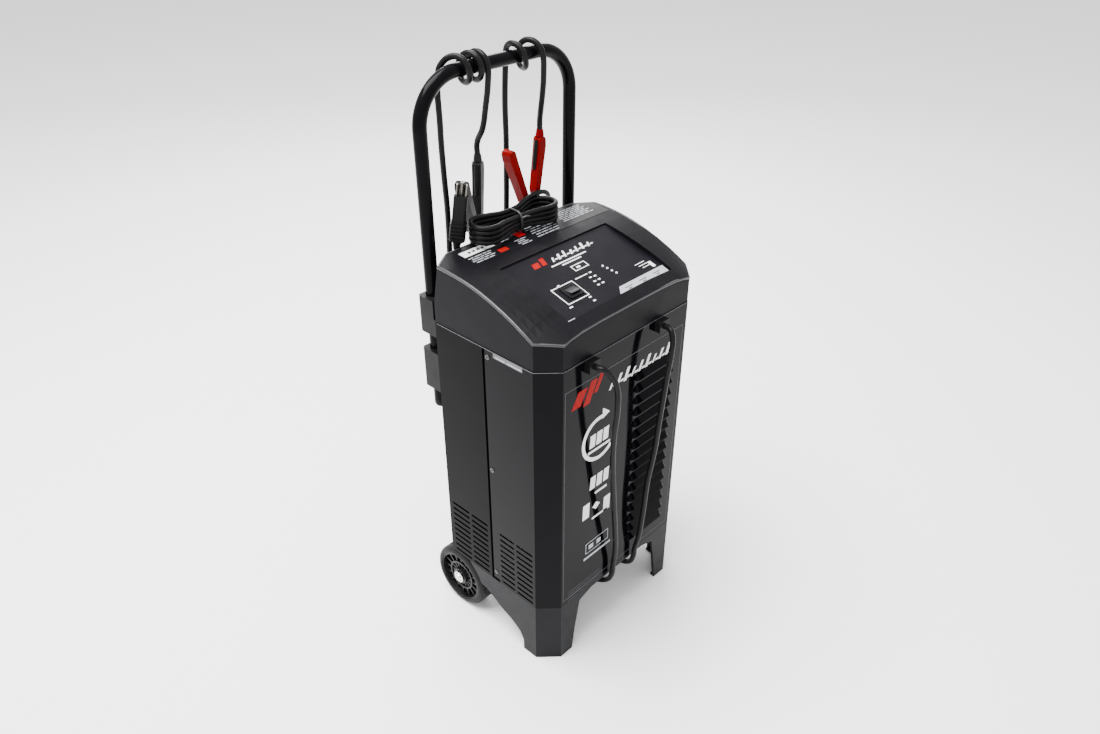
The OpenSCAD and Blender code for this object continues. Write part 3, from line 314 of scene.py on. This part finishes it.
def clamp_point(at, yaw, lean, x, z):
    """A point in the middle plane of a clamp's own frame, after its lean and yaw."""
    turn = Matrix.Rotation(math.radians(yaw), 3, "Z") @ Matrix.Rotation(math.radians(lean), 3, "Y")
    return Vector(at) + turn @ Vector((x, 0.0, z))


def grip_entry(at, yaw, lean):
    """Last points of a lead: square onto the end face of the grip."""
    (x0, z0), (x1, z1) = GRIP_END
    e = Vector((x1 - x0, z1 - z0)).normalized()
    return [tuple(clamp_point(at, yaw, lean, (x0 + x1) / 2 - e.y * d, (z0 + z1) / 2 + e.x * d))
            for d in (24, 12, TOUCH)]


ROUTE_NEG = [
    (-81, -133.51, 520), (-81, -139, 520), (-78, -146, 519), (-71, -153, 509), (-65, -158, 490),
    (-62, -158, 455), (-61, -154, 415), (-57, -150, 370), (-50, -147, 320), (-42, -145, 265),
    (-33, -142, 213), (-25, -138, 165), (-21, -132, 124), (-22, -131, 106), (-25, -125, 92),
    (-33, -100, 83), (-45, -50, 78), (-55, 20, 77), (-60, 70, 79), (-66, 100, 90), (-72, 120, 115),
    (-77, 132, 155), (-80, 142, 240), (-80, 149, 360), (-78, 153, 480), (-75, 153, 580),
    (-77, 149, 650), (-85, 142, 715), (-90, 137, 775), *bar_turns(TURNS_NEG),
    (-34, 103, 828), (-32, 111, 798), (-30, 121, 766), *grip_entry(BLACK_AT, BLACK_YAW, BLACK_LEAN),
]
ROUTE_POS = [
    (66, -133.51, 520), (66, -139, 520), (64, -146, 518), (61, -152, 506), (57, -154, 487),
    (51, -154, 450), (46, -151, 379), (44, -148, 324), (38, -144, 268), (34, -142, 201),
    (33, -138, 152), (33, -132, 122), (32, -131, 106), (30, -125, 92), (28, -100, 83), (30, -50, 78),
    (32, 20, 77), (34, 70, 79), (36, 100, 90), (38, 120, 115), (38, 132, 155), (38, 142, 240),
    (38, 149, 360), (38, 152, 480), (38, 152, 580), (36, 147, 665), (32, 141, 730), (28, 137, 790),
    *bar_turns(TURNS_POS),
    (69, 102, 824), (71, 106, 798), (74, 113, 770), *grip_entry(RED_AT, RED_YAW, RED_LEAN),
]


def cord_curve(name, route, diameter):
    """One smooth open curve with a round bevel through the route's points."""
    cu = bpy.data.curves.new(name, "CURVE")
    cu.dimensions = "3D"
    sp = cu.splines.new("BEZIER")
    sp.bezier_points.add(len(route) - 1)
    for p, q in zip(sp.bezier_points, route):
        p.co = mm(q)
        p.handle_left_type = p.handle_right_type = "AUTO"
    cu.resolution_u = 8
    cu.bevel_depth = diameter / 2 * MM
    cu.bevel_resolution = 5
    cu.use_fill_caps = True
    cu.materials.append(MAT["cord_jacket"])
    obj = bpy.data.objects.new(name, cu)
    bpy.context.scene.collection.objects.link(obj)
    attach(obj, "charger")
    return obj


LEAD_D = 8.4
lead_neg = cord_curve("lead_negative", ROUTE_NEG, LEAD_D)
lead_pos = cord_curve("lead_positive", ROUTE_POS, LEAD_D)
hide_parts("cable_neg")
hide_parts("cable_pos")

# ------------------------------------------------------------------ mains cord in its hank
MAINS_D = 7.2
HANK_X = (-66.0, 46.0)
HANK_Y, HANK_END_R, HANK_WAIST = 84.0, 24.0, 11.0
HANK_Z = (622.6, 658.6)
HANK_TURNS = 4
HANK_MID = (HANK_Z[0] + HANK_Z[1]) / 2
HANK_GAP, HANK_SKIN, HANK_STAGGER = 0.3, 0.4, 1.2
# sine and cosine of the 45 degree points in the hank's end loops
HALF_TURN_CORNER = 0.7071
HANK_PITCH = (HANK_Z[1] - HANK_Z[0] - MAINS_D - 2 * HANK_GAP) / HANK_TURNS
# the tie draws the turns towards a height a little below the middle
TIE_X, TIE_REACH, TIE_PULL = -10.0, 45.0, 0.3
PULL_BELOW, TIE_BELOW = 3, 1.5
MAINS_UP = [(100, 103.01, 470), (100, 112, 470), (100, 124, 475), (101, 132, 488), (102, 135, 508),
            (103, 134, 540), (103, 131, 580), (100, 124, 612), (92, 115, 636), (76, 108, 650)]
MAINS_TO_PLUG = [(-28, 104, 618), (-42, 104.4, 598), (-54, 104, 580), (-69, 104, 571), (-84, 104, 575),
                 (-95, 104.4, 588), (-102, 105.3, 604)]


def hank_point(x, y, down):
    """A point of the hank, down turns below its top, drawn together in height near the tie."""
    z = HANK_Z[1] - MAINS_D / 2 - HANK_GAP - HANK_PITCH * down
    pull = TIE_PULL * max(0.0, 1.0 - abs(x - TIE_X) / TIE_REACH)
    return (x, y, z + (HANK_MID - PULL_BELOW - z) * pull)


def hank_route():
    """Lead from the rear panel, then flat turns stacked on each other, then the tail to the plug."""
    x0, x1 = HANK_X
    r = HANK_END_R - MAINS_D / 2 - HANK_SKIN
    c = HALF_TURN_CORNER * r
    pts = list(MAINS_UP)
    for k in range(HANK_TURNS):
        w = HANK_WAIST - HANK_STAGGER * (k % 2)
        run = [(x1 + 2, HANK_Y + r, 0.04), (x1 - 20, HANK_Y + r - 4, 0.10), (TIE_X + 16, HANK_Y + w, 0.18),
               (TIE_X - 14, HANK_Y + w, 0.26), (x0 + 20, HANK_Y + r - 4, 0.34), (x0, HANK_Y + r, 0.40),
               (x0 - c, HANK_Y + c, 0.44), (x0 - r, HANK_Y, 0.48), (x0 - c, HANK_Y - c, 0.52),
               (x0, HANK_Y - r, 0.56), (x0 + 20, HANK_Y - r + 4, 0.62), (TIE_X - 14, HANK_Y - w, 0.70),
               (TIE_X + 16, HANK_Y - w, 0.78), (x1 - 20, HANK_Y - r + 4, 0.86), (x1, HANK_Y - r, 0.91),
               (x1 + c, HANK_Y - c, 0.94), (x1 + r, HANK_Y, 0.97), (x1 + c, HANK_Y + c, 1.0)]
        pts += [hank_point(x, y, k + f) for x, y, f in run]
    pts += [(x1 - 2, HANK_Y + r, 626.4), (x1 - 20, HANK_Y + r - 4, 626.4), (TIE_X + 18, 97, 626.6),
            (TIE_X - 6, 101, 626)]
    return pts + MAINS_TO_PLUG


PLUG_AT = Vector((-102.0, 105.0, 618.0))
PLUG_TILT, PLUG_LEAN = math.radians(4.4), math.radians(6.6)
plug_axis = Vector((math.cos(PLUG_TILT) * math.sin(PLUG_LEAN), -math.sin(PLUG_TILT),
                    math.cos(PLUG_TILT) * math.cos(PLUG_LEAN)))
ROUTE_MAINS = hank_route() + [tuple(PLUG_AT - plug_axis * TOUCH)]
mains = cord_curve("mains_cord", ROUTE_MAINS, MAINS_D)
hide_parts("power_cord_hank", "power_cord_lead", "power_cord_tail")

# strain relief where the cord leaves the rear panel, with its ring grooves
RELIEF = [Vector((100, 103.02, 470))] + [Vector(p) for p in MAINS_UP[1:4]]
RELIEF_STEPS, RELIEF_R0, RELIEF_R1, GROOVE = 24, 6.6, 4.2, 0.7


def relief_shape():
    """Path and radii of the tapered sleeve: every third ring but the last is a groove."""
    path, radii = [], []
    spans = len(RELIEF) - 1
    for i in range(RELIEF_STEPS + 1):
        f = i / RELIEF_STEPS
        k = min(spans - 1, int(f * spans))
        path.append(RELIEF[k].lerp(RELIEF[k + 1], f * spans - k))
        cut = GROOVE if i % 3 == 2 and i < RELIEF_STEPS - 2 else 0.0
        radii.append(RELIEF_R0 + (RELIEF_R1 - RELIEF_R0) * f - cut)
    return path, radii


sweep("mains_strain_relief", *relief_shape(), "black_plastic", sides=20)

# wire tie drawn round the middle of the hank
TIE_HALF = (HANK_WAIST + MAINS_D / 2 + 0.5, 14.4)
TIE_R, TIE_STEPS, TIE_SQUARE, TIE_TWIST = 1.5, 40, 0.55, 0.8
TIE_TAIL = ((0, -14.6, 6), (2, -17.4, 8), (6, -19.0, 9), (11, -19.6, 7.5))
TIE_TAIL_R = [1.4, 1.5, 1.4, 1.1]
tie_mid = Vector((TIE_X, HANK_Y, HANK_MID - TIE_BELOW))


def tie_point(turn):
    """A point of the tie's rounded rectangle, turn in radians."""
    c, d = math.cos(turn), math.sin(turn)
    return tie_mid + Vector((TIE_TWIST * math.sin(2 * turn),
                             TIE_HALF[0] * math.copysign(abs(c) ** TIE_SQUARE, c),
                             TIE_HALF[1] * math.copysign(abs(d) ** TIE_SQUARE, d)))


tie = sweep("wire_tie", [tie_point(2 * math.pi * k / TIE_STEPS) for k in range(TIE_STEPS)],
            [TIE_R] * TIE_STEPS, "tie_plastic", sides=10, closed=True)
sweep("wire_tie_tail", [tie_mid + Vector(v) for v in TIE_TAIL], TIE_TAIL_R, "tie_plastic", sides=10)
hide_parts("cord_tie")

# ------------------------------------------------------------------ lead ends at the clamps
# points (x, z) in the clamp's own frame, and a radius for each
LEAD_END, LEAD_END_R = ((25.6, 121), (22.0, 107), (18.6, 94), (15.4, 80)), [3.2, 3.4, 3.4, 2.6]
GRIP_COLLAR, GRIP_COLLAR_R = ((32.0, 125.1), (32.6, 129), (33.4, 135)), [6.2, 5.9, 4.9]


def clamp_details(colour, *place):
    """The lead's end inside the fixed grip, and the collar where it enters."""
    sweep(colour + "_lead_end", [clamp_point(*place, x, z) for x, z in LEAD_END], LEAD_END_R,
          "cord_jacket", sides=14)
    sweep(colour + "_grip_collar", [clamp_point(*place, x, z) for x, z in GRIP_COLLAR], GRIP_COLLAR_R,
          colour + "_vinyl", sides=18)


clamp_details("red", RED_AT, RED_YAW, RED_LEAN)
clamp_details("black", BLACK_AT, BLACK_YAW, BLACK_LEAN)

# ------------------------------------------------------------------ cap ridge and sheet-metal rim, each with a painted highlight
HALF_W, FRONT_Y, REAR_Y, CHAMFER = 159.0, -124.0, 91.5, 27.5
CAP_W, CAP_FRONT_Y, CAP_REAR_Y, REAR_CUT_Y, REAR_CUT_W = 158.2, -123.2, 99.5, 79.5, 127.0
# the cap's arcs seen from the side, radius and centre: along its middle, and along its side edges
CROWN_R, CROWN_Y, CROWN_Z = 580.0, 97.5, 41.0
EDGE_R, EDGE_Y, EDGE_Z = 346.0, 77.5, 272.5
DOME_POWER = 5.5


def cap_z(x, y):
    """Height of the cap's domed skin."""
    crown = CROWN_Z + math.sqrt(CROWN_R ** 2 - (y - CROWN_Y) ** 2)
    edge = EDGE_Z + math.sqrt(EDGE_R ** 2 - (y - EDGE_Y) ** 2)
    return crown - (crown - edge) * (abs(x) / HALF_W) ** DOME_POWER


def cap_half(y):
    """Half width of the cap's upper edge."""
    cut = (CAP_W - REAR_CUT_W) / (CAP_REAR_Y - REAR_CUT_Y)
    return min(CAP_W, y - CAP_FRONT_Y + HALF_W - CHAMFER, CAP_W - (y - REAR_CUT_Y) * cut)


ROW_Y = [-123.2, -114, -104.5, -96.5, -82, -64, -44, -22, 0, 19.5, 32, 44, 62, 79.5, 88, 96, 99.5]
ROW_X = (-118, -100, -60, -20, 20, 60, 100, 118)
RIDGE_SINK, RIDGE_R, RIDGE_FRONT_LESS = 1.5, 2.25, 0.5
RIDGE_IN_X, RIDGE_IN_Y = 0.9 * RIDGE_SINK, 0.6 * RIDGE_SINK


def ridge_outline():
    """Points (x, y) once round the cap's upper edge."""
    left = [(-cap_half(y), y) for y in ROW_Y]
    rear = [(x, CAP_REAR_Y) for x in ROW_X]
    right = [(cap_half(y), y) for y in reversed(ROW_Y)]
    front = [(x, CAP_FRONT_Y) for x in reversed(ROW_X)]
    return left + rear + right + front


ridge = ridge_outline()
ridge_path = [(x - math.copysign(RIDGE_IN_X, x), y - math.copysign(RIDGE_IN_Y, y),
               cap_z(x, y) - RIDGE_SINK) for x, y in ridge]
on_front_edge = [y == CAP_FRONT_Y and abs(x) < 120 for x, y in ridge]
ridge_r = [RIDGE_R - (RIDGE_FRONT_LESS if front else 0.0) for front in on_front_edge]
# a half-sunk roll rounds the cap's upper edge; its lighter material paints the ridge's highlight
sweep("cap_ridge_roll_highlight", ridge_path, ridge_r, "cap_ridge_highlight", sides=16, closed=True, slot="cap_plastic")

# a thin light strip along the sheet-metal top edge under the cap: a painted highlight
RIM_Z, RIM_R = 529.75, 0.4
RIM_CORNERS = [(-HALF_W, FRONT_Y + CHAMFER), (-HALF_W + CHAMFER, FRONT_Y), (HALF_W - CHAMFER, FRONT_Y),
               (HALF_W, FRONT_Y + CHAMFER), (HALF_W, REAR_Y), (-HALF_W, REAR_Y)]
rim_path = [(x0 + (x1 - x0) * f, y0 + (y1 - y0) * f, RIM_Z)
            for (x0, y0), (x1, y1) in zip(RIM_CORNERS, RIM_CORNERS[1:] + RIM_CORNERS[:1])
            for f in (0.02, 0.25, 0.5, 0.75, 0.98)]
sweep("sheet_top_edge_highlight", rim_path, [RIM_R] * len(rim_path), "sheet_rim_highlight", sides=8, closed=True,
      slot="panel_front")

# nodes, width of the rounding in millimetres, its segments, and the angle from which an edge is rounded
ROUNDED = [
    (["red_grip_fixed", "red_grip_moving", "black_grip_fixed", "black_grip_moving"], 2.2, 4, 35),
    (["collar_left", "collar_right", "bracket_left", "bracket_right"], 1.6, 3, 35),
    (["outlet_neg", "outlet_pos"], 1.4, 3, 50),
    (["power_plug"], 0.8, 2, 50),
    (["switch_bezel", "switch_rocker"], 0.4, 2, 50),
    (["foot_base"], 0.8, 2, 40),
    (["plug_blades"], 0.4, 2, 50),
]
for names, width, segments, angle in ROUNDED:
    round_edges(names, width, segments, angle)


# ------------------------------------------------------------------ printed marks (plain shapes only)
INK_GAP = 0.03
FILM_H, FINE_INK = 0.12, 0.08
SLOPE = math.radians(15.5)
BAY_Y, BAY_Z = 19.5, 613.0
SHEET_TOP, LABEL_TOP = 0.53, 0.46


def on_front(u, v, h):
    """Point on the front panel: u to the right, v up, h out of it."""
    return (u, FRONT_Y - INK_GAP - h, v)


def on_side(u, v, h):
    """Point on the left side panel: u towards the back, v up, h out of it."""
    return (-HALF_W - INK_GAP - h, u, v)


def on_face(u, v, h):
    """Point on the control sheet: v runs up its slope from the rear edge."""
    k = SHEET_TOP + h
    return (u, BAY_Y + v * math.cos(SLOPE) - k * math.sin(SLOPE),
            BAY_Z + v * math.sin(SLOPE) + k * math.cos(SLOPE))


def on_cap(u, v, h):
    """Point on the label across the cap: v towards the back."""
    return (u, v, cap_z(u, v) + LABEL_TOP + h)


def ring_arc(cu, cv, r0, r1, a0, a1, steps):
    """Outline of an open ring from angle a0 to a1 in degrees, between radii r0 and r1."""
    turn = [math.radians(a0 + (a1 - a0) * k / steps) for k in range(steps + 1)]
    inner = [(cu + r0 * math.cos(a), cv + r0 * math.sin(a)) for a in turn]
    outer = [(cu + r1 * math.cos(a), cv + r1 * math.sin(a)) for a in reversed(turn)]
    return inner + outer


WORD_WIDTHS, WORD_GAP, ROW_INDENT = (9, 13, 6, 11, 8), 2, 3


def small_print(u0, u1, v_top, rows, step, height):
    """Rows of short dashes that stand for small print."""
    out = []
    for row in range(rows):
        v = v_top - row * step
        u, word = u0 + ROW_INDENT * (row % 2), row
        while u < u1 - 4:
            end = min(u + WORD_WIDTHS[word % len(WORD_WIDTHS)], u1)
            out.append(bar(u, end, v, v + height))
            u, word = end + WORD_GAP, word + 1
    return out


# front panel: a ring with an arrow head round three bars, blocks below it, and a slanted row at the top
front_white = [ring_arc(-56, 389, 31, 37, 82, 318, 40)]
front_white.append([(-51, 418), (-51, 436), (-36, 424)])
for k in range(3):
    front_white.append(bar(-77 + k * 14, -66 + k * 14, 379, 400, 2))
    front_white.append(bar(-74 + k * 14.5, -63 + k * 14.5, 303, 325, 2))
front_white.append(bar(-80, -33, 370, 374))
front_white.append(bar(-62, -36, 290, 294))
front_white += [bar(-88, -74, 254, 281, 1), bar(-42, -28, 244, 271, 1), bar(-67, -33, 244, 247.5)]
front_white.append([(-67, 267), (-58.5, 274), (-50, 267), (-58.5, 260)])
for k in range(9):
    front_white.append(bar(-40 + k * 15.5, -36 + k * 15.5 + (k % 3), 459 + (k % 2), 473 + 3 * (k % 3), 8))
    front_white.append(bar(-32 + k * 15.5, -25 + k * 15.5, 462, 465, 2))
ink("front_marks_white", front_white, on_front, "white_ink")
ink("front_marks_red",
    [bar(-116, -98, 462, 486, 14), bar(-93, -80, 458, 492, 16), bar(-72, -64, 470, 497, 14)],
    on_front, "red_ink")
# the printed outline round the front; its left bar, by the fold to the chamfer, is also a painted
# highlight of that fold
outline_and_fold_highlight = frame_bars(-128, 124, 119, 496, 0.6)
front_grey = frame_bars(-79, -28, 182, 202, 1.0)
front_grey += [bar(-72, -62, 188, 196), bar(-54, -45, 188, 196), bar(-83, -22, 171, 175)]
for k in range(4):
    outline_and_fold_highlight.append(bar(-117, -45 + 6 * (k % 2), 129 - k * 5.6, 129.5 - k * 5.6))
ink("front_outline_and_fold_highlight", outline_and_fold_highlight, on_front, "outline_ink_and_highlight")
ink("front_marks_grey", front_grey, on_front, "silver_ink")

# left side panel: a strip of clear film with two printed lines
ink("side_film", [bar(-78, -24, 522, 529.2)], on_side, "clear_film")
ink("side_film_line", [bar(-76, -50, 523.4, 525.2), bar(-46, -28, 523.4, 525.2)],
    lambda u, v, h: on_side(u, v, h + FILM_H), "silver_ink", FINE_INK)

# control sheet: a frame round the switch, rows of dots by the lenses, bars and a pale strip at its front
face_white = frame_bars(-72.5, -31.5, -101, -67, 1.3)
face_white += [bar(-34, 35, -32.6, -30.6), bar(-18, 20, -37.5, -35.6)]
for k in range(7):
    face_white.append(bar(-24 + k * 12, -21 + k * 12 + (k % 2), -25, -17 + 2 * (k % 3), 4))
    face_white.append(bar(-18 + k * 12, -12.5 + k * 12, -23, -21, 1))
face_white += frame_bars(-11, 16, -56, -44.6, 1.2)
face_white += [bar(-4, 3, -52, -49), bar(-25, -1, -68.6, -67.2)]
FACE_DOTS = ((5, -68), (-3, -76), (5, -77), (-4, -85), (5, -85), (4, -93), (-5, -93), (-35, -105),
             (-35, -113))
for u, v in FACE_DOTS:
    face_white.append(bar(u - 2.2, u + 2.2, v - 1.1, v + 1.1))
face_white += [bar(-76, -70, -107, -105), bar(-58, -54, -66, -64.4)]
for k in range(3):
    face_white.append(bar(74 + k * 3, 94 + k * 2, -92 - k * 5, -91 - k * 5))
face_white.append(bar(96, 102, -108, -96))
ink("face_marks_white", face_white, on_face, "white_ink")
ink("face_marks_red", [bar(-59, -47, -24, -14, 3), bar(-43, -35, -24, -10, 4)], on_face, "red_ink")
ink("face_marks_grey", [bar(-97, -85, -124.4, -123.2)], on_face, "silver_ink")
ink("face_strip", [[(3, -127), (109.5, -127), (110.5, -112), (17, -112)]], on_face, "silver_ink")
ink("face_strip_marks", [bar(22 + k * 30, 38 + k * 30, -119, -117.4) for k in range(3)]
    + [bar(26 + k * 30, 33 + k * 30, -123, -121) for k in range(3)],
    lambda u, v, h: on_face(u, v, h + FILM_H), "dark_ink", FINE_INK)

# label across the cap: a white block, two red ones and rows of dashes
cap_white = [bar(-117, -62, 70, 85, 1)]
cap_grey = small_print(-117, -76, 62.6, 4, 4.6, 1.6) + small_print(-56, -34, 84, 4, 4.2, 1.4)
cap_grey += small_print(-34, -12, 60, 4, 4.4, 1.5) + small_print(2, 52, 85, 7, 6, 1.5)
cap_grey += small_print(66, 130, 86, 7, 4.6, 1.4)
ink("cap_marks_white", cap_white, on_cap, "white_ink")
ink("cap_marks_grey", cap_grey, on_cap, "silver_ink")
ink("cap_marks_red", [bar(-20, -5, 66, 78), bar(-70, -54, 49, 58)], on_cap, "red_ink")
ink("cap_mark_lines", [bar(-106 + k * 8, -101 + k * 8, 75, 80, 1) for k in range(5)],
    lambda u, v, h: on_cap(u, v, h + FILM_H), "dark_ink", FINE_INK)


# ------------------------------------------------------------------ floor and light
FLOOR_HALF = 14.0
SKY_STRENGTH = 1.5


def area_light(name, at, target, size, watts):
    """A rectangular lamp at a point, turned towards target."""
    data = bpy.data.lights.new(name, "AREA")
    data.shape = "RECTANGLE"
    data.size, data.size_y = size
    data.energy = watts
    obj = bpy.data.objects.new(name, data)
    obj.location = at
    obj.rotation_euler = (Vector(target) - Vector(at)).to_track_quat("-Z", "Y").to_euler()
    bpy.context.scene.collection.objects.link(obj)


def studio():
    """Pale floor, even white surroundings and two softboxes."""
    me = bpy.data.meshes.new("floor")
    s = FLOOR_HALF
    me.from_pydata([(-s, -s, 0), (s, -s, 0), (s, s, 0), (-s, s, 0)], [], [(0, 1, 2, 3)])
    floor = bpy.data.objects.new("floor", me)
    bpy.context.scene.collection.objects.link(floor)
    paint = bpy.data.materials.new("studio_floor")
    paint.use_nodes = True
    shader = paint.node_tree.nodes["Principled BSDF"]
    shader.inputs["Base Color"].default_value = (0.93, 0.93, 0.93, 1)
    shader.inputs["Roughness"].default_value = 0.9
    shader.inputs["Specular IOR Level"].default_value = 0.1
    me.materials.append(paint)
    world = bpy.data.worlds.new("studio")
    world.use_nodes = True
    sky = world.node_tree.nodes["Background"]
    sky.inputs["Color"].default_value = (1.0, 1.0, 1.0, 1)
    sky.inputs["Strength"].default_value = SKY_STRENGTH
    bpy.context.scene.world = world
    area_light("top_softbox", at=(-0.7, 0.5, 3.0), target=(0, 0, 0.3), size=(2.0, 2.0), watts=330)
    area_light("back_softbox", at=(1.5, 1.7, 1.7), target=(0, 0, 0.6), size=(1.3, 0.9), watts=45)


studio()
bpy.context.view_layer.update()
